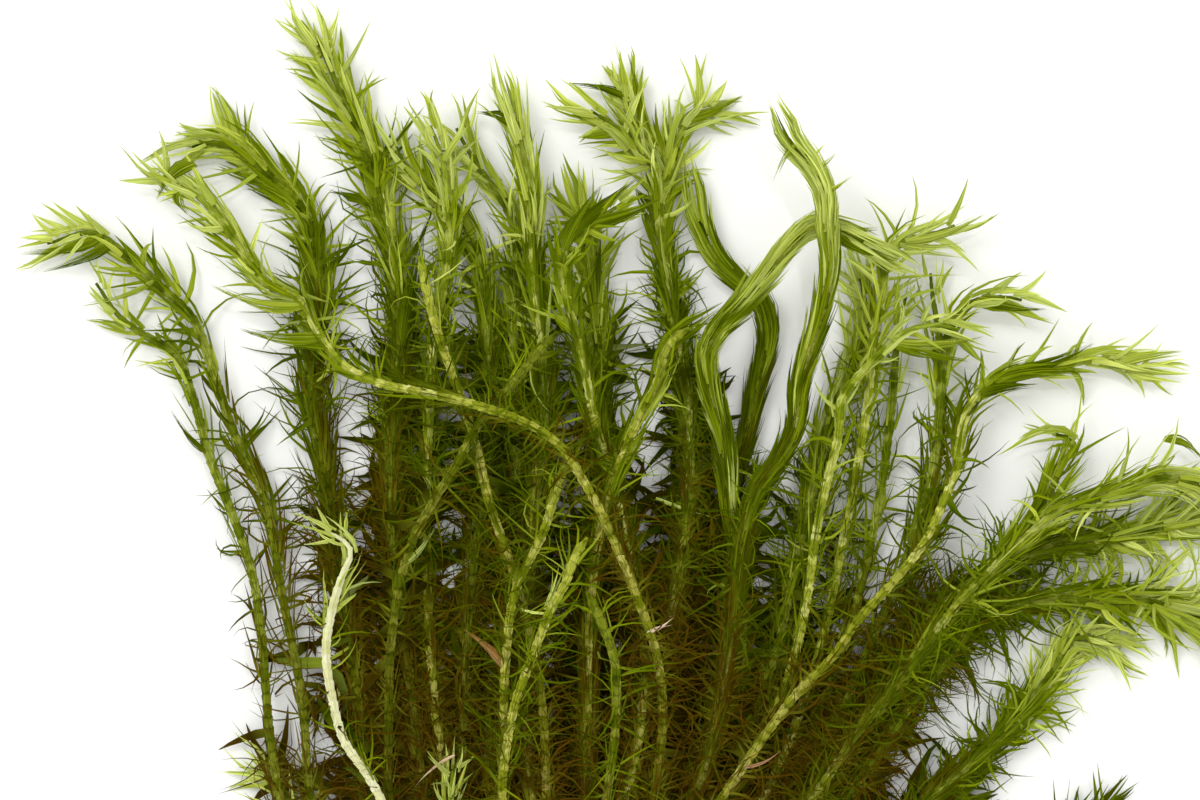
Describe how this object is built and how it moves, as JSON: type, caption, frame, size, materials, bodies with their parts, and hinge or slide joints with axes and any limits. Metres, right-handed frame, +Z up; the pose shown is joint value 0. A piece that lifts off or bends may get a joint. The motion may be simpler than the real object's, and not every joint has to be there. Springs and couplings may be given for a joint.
{
  "type": "stream bogmoss bunch",
  "caption": "Bunch of fine-leaved stream bogmoss shoots, fanned out from their cut stems and lying flat on a surface.",
  "frame": {"origin": "middle of the bunch's box in X and Y, on the surface that it lies on", "axes": "+X across the fan to the right, +Y from the cut ends to the leafy tips, +Z up from the surface, which is the way the picture looks from above"},
  "size_m": [0.2059, 0.1802, 0.0219],
  "materials": {
    "leaf_green": "satin",
    "leaf_dark": "satin",
    "leaf_pale": "satin",
    "leaf_brown": "satin"
  },
  "bodies": {
    "root": {"branch_centre_left": "leaf_green", "branch_centre_right": "leaf_pale", "shoot_centre_behind": "leaf_dark", "shoot_centre_dark": "leaf_dark", "shoot_centre_kinked": "leaf_green", "shoot_centre_tall": "leaf_green", "shoot_centre_wide": "leaf_pale", "shoot_front_brown": "leaf_brown", "shoot_front_left": "leaf_green", "shoot_front_pale": "leaf_pale", "shoot_front_pale_right": "leaf_pale", "shoot_front_rosette": "leaf_pale", "shoot_front_segmented": "leaf_pale", "shoot_front_short": "leaf_green", "shoot_front_thin": "leaf_brown", "shoot_front_thin_left": "leaf_brown", "shoot_left_bleached": "leaf_pale", "shoot_left_lower": "leaf_green", "shoot_left_short": "leaf_pale", "shoot_left_upper": "leaf_green", "shoot_long_arching": "leaf_pale", "shoot_low_right_brown": "leaf_brown", "shoot_low_right_pink": "leaf_brown", "shoot_right_arching": "leaf_pale", "shoot_right_curled": "leaf_dark", "shoot_right_hooked": "leaf_green", "shoot_right_inner": "leaf_green", "shoot_right_inner_low": "leaf_green", "shoot_right_long": "leaf_green", "shoot_right_low": "leaf_green", "shoot_right_low_arch": "leaf_green", "shoot_right_low_hooked": "leaf_green", "shoot_right_rosette": "leaf_pale", "shoot_right_scarred": "leaf_pale", "shoot_right_upright": "leaf_green", "shoot_top_brush": "leaf_green", "shoot_top_left_dark": "leaf_dark", "shoot_top_left_inner": "leaf_green", "shoot_top_left_pale": "leaf_pale", "shoot_top_left_tall": "leaf_green", "shoot_top_slender": "leaf_green", "shoot_wet_rope": "leaf_green", "shoot_wet_rope_upright": "leaf_dark"}
  },
  "joints": []
}
